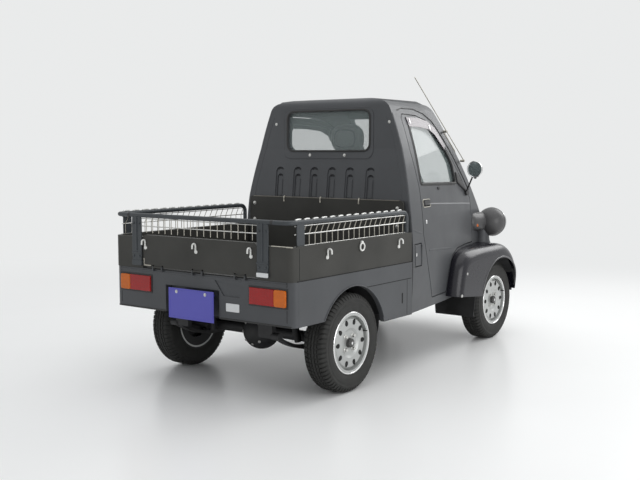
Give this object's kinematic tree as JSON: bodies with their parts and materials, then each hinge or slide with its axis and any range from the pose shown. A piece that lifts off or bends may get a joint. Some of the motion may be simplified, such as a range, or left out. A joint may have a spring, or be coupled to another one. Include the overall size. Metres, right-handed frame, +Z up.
{
  "type": "micro pickup truck",
  "caption": "Very small one-seat pickup truck with a tapering grey cab, black clamshell wings, ball headlamps, a dropside bed with a pipe and wire rack, and a spare wheel on the nose.",
  "frame": {"origin": "on the ground, at the middle of the overall length and width", "axes": "+X towards the front of the truck, +Y towards its left side, +Z up"},
  "size_m": [2.8026, 1.341, 1.7733],
  "materials": {
    "body_grey": "satin metallic",
    "wing_black": "gloss",
    "bed_dark": "satin",
    "chassis_black": "matt",
    "engine_iron": "rough cast",
    "exhaust_steel": "dull",
    "tyre_rubber": "matt",
    "wheel_silver": "silver paint",
    "window_glass": "clear",
    "clear_lens": "clear",
    "smoked_plastic": "smoked",
    "black_plastic": "matt",
    "red_lens": "gloss",
    "amber_lens": "gloss",
    "plate_blue": "satin",
    "rack_grey": "satin",
    "wire_steel": "satin",
    "hook_white": "gloss",
    "seat_fabric": "woven"
  },
  "bodies": {
    "truck": {"cab_floor": "body_grey", "cab_back_panel": "body_grey", "nose_panel": "body_grey", "cab_shell": "body_grey", "lower_body": "body_grey", "headlamp_pods": "body_grey", "front_wings": "wing_black", "front_bumper": "wing_black", "bed_walls": "bed_dark", "bed_floor": "bed_dark", "chassis_frame": "chassis_black", "leaf_springs": "chassis_black", "rear_axle": "chassis_black", "fuel_tank": "chassis_black", "front_arms": "chassis_black", "engine_block": "engine_iron", "drive_line": "engine_iron", "exhaust": "exhaust_steel", "spare_tyre": "tyre_rubber", "spare_wheel": "wheel_silver", "cab_glass": "window_glass", "headlamp_lenses": "clear_lens", "front_wheel_liners": "black_plastic", "tail_lamp_frames": "black_plastic", "dashboard": "black_plastic", "wiper": "black_plastic", "tail_lenses_red": "red_lens", "amber_lenses": "amber_lens", "number_plate": "plate_blue", "rack_frame": "rack_grey", "rack_mesh": "wire_steel", "aerial": "wire_steel", "side_hooks": "hook_white", "seat": "seat_fabric"},
    "wheel_rear_left": {"tyre_rear_left": "tyre_rubber", "rim_rear_left": "wheel_silver"},
    "wheel_rear_right": {"tyre_rear_right": "tyre_rubber", "rim_rear_right": "wheel_silver"},
    "wheel_front_left": {"tyre_front_left": "tyre_rubber", "rim_front_left": "wheel_silver"},
    "wheel_front_right": {"tyre_front_right": "tyre_rubber", "rim_front_right": "wheel_silver"},
    "front_knuckle_left": {"knuckle_left": "engine_iron"},
    "front_knuckle_right": {"knuckle_right": "engine_iron"},
    "driver_wheel": {"steering_wheel": "black_plastic"},
    "left_door": {"door_left": "body_grey", "door_glass_left": "window_glass", "mirror_left": "black_plastic", "door_visor_left": "smoked_plastic"},
    "right_door": {"door_right": "body_grey", "door_glass_right": "window_glass", "mirror_right": "black_plastic", "door_visor_right": "smoked_plastic"},
    "rear_gate": {"tailgate": "bed_dark", "tailgate_hooks": "hook_white"},
    "filler_lid": {"fuel_lid": "body_grey"}
  },
  "joints": [
    {"name": "spin_rear_left", "type": "hinge", "parent": "truck", "child": "wheel_rear_left", "pos_m": [-0.85, 0.567, 0.27], "axis": [0, 1, 0], "continuous": true},
    {"name": "spin_rear_right", "type": "hinge", "parent": "truck", "child": "wheel_rear_right", "pos_m": [-0.85, -0.567, 0.27], "axis": [0, 1, 0], "continuous": true},
    {"name": "steer_right", "type": "hinge", "parent": "truck", "child": "front_knuckle_right", "pos_m": [0.99, -0.442, 0.178], "axis": [0, 0.1201, 0.9928], "range_deg": [-30, 30]},
    {"name": "steer_left", "type": "hinge", "parent": "truck", "child": "front_knuckle_left", "pos_m": [0.99, 0.442, 0.178], "axis": [0, -0.1201, 0.9928], "range_deg": [-30, 30]},
    {"name": "spin_front_left", "type": "hinge", "parent": "front_knuckle_left", "child": "wheel_front_left", "pos_m": [0.99, 0.515, 0.27], "axis": [0, 1, 0], "continuous": true},
    {"name": "spin_front_right", "type": "hinge", "parent": "front_knuckle_right", "child": "wheel_front_right", "pos_m": [0.99, -0.515, 0.27], "axis": [0, 1, 0], "continuous": true},
    {"name": "turn_steering_wheel", "type": "hinge", "parent": "truck", "child": "driver_wheel", "pos_m": [0.495, 0, 0.99], "axis": [-0.9135, 0, 0.4067], "range_deg": [-450, 450]},
    {"name": "open_left_door", "type": "hinge", "parent": "truck", "child": "left_door", "pos_m": [0.875, 0.465, 0.83], "axis": [0, 0, -1], "range_deg": [0, 65]},
    {"name": "open_right_door", "type": "hinge", "parent": "truck", "child": "right_door", "pos_m": [0.875, -0.465, 0.83], "axis": [0, 0, 1], "range_deg": [0, 65]},
    {"name": "open_tailgate", "type": "hinge", "parent": "truck", "child": "rear_gate", "pos_m": [-1.382, 0, 0.666], "axis": [0, -1, 0], "range_deg": [0, 90]},
    {"name": "open_filler_lid", "type": "hinge", "parent": "truck", "child": "filler_lid", "pos_m": [-0.097, -0.6275, 0.687], "axis": [0, 0, 1], "range_deg": [0, 100]}
  ],
  "couplings": [
    {"joint": "steer_left", "follows": "steer_right", "ratio": 1},
    {"joint": "turn_steering_wheel", "follows": "steer_right", "ratio": 15}
  ]
}
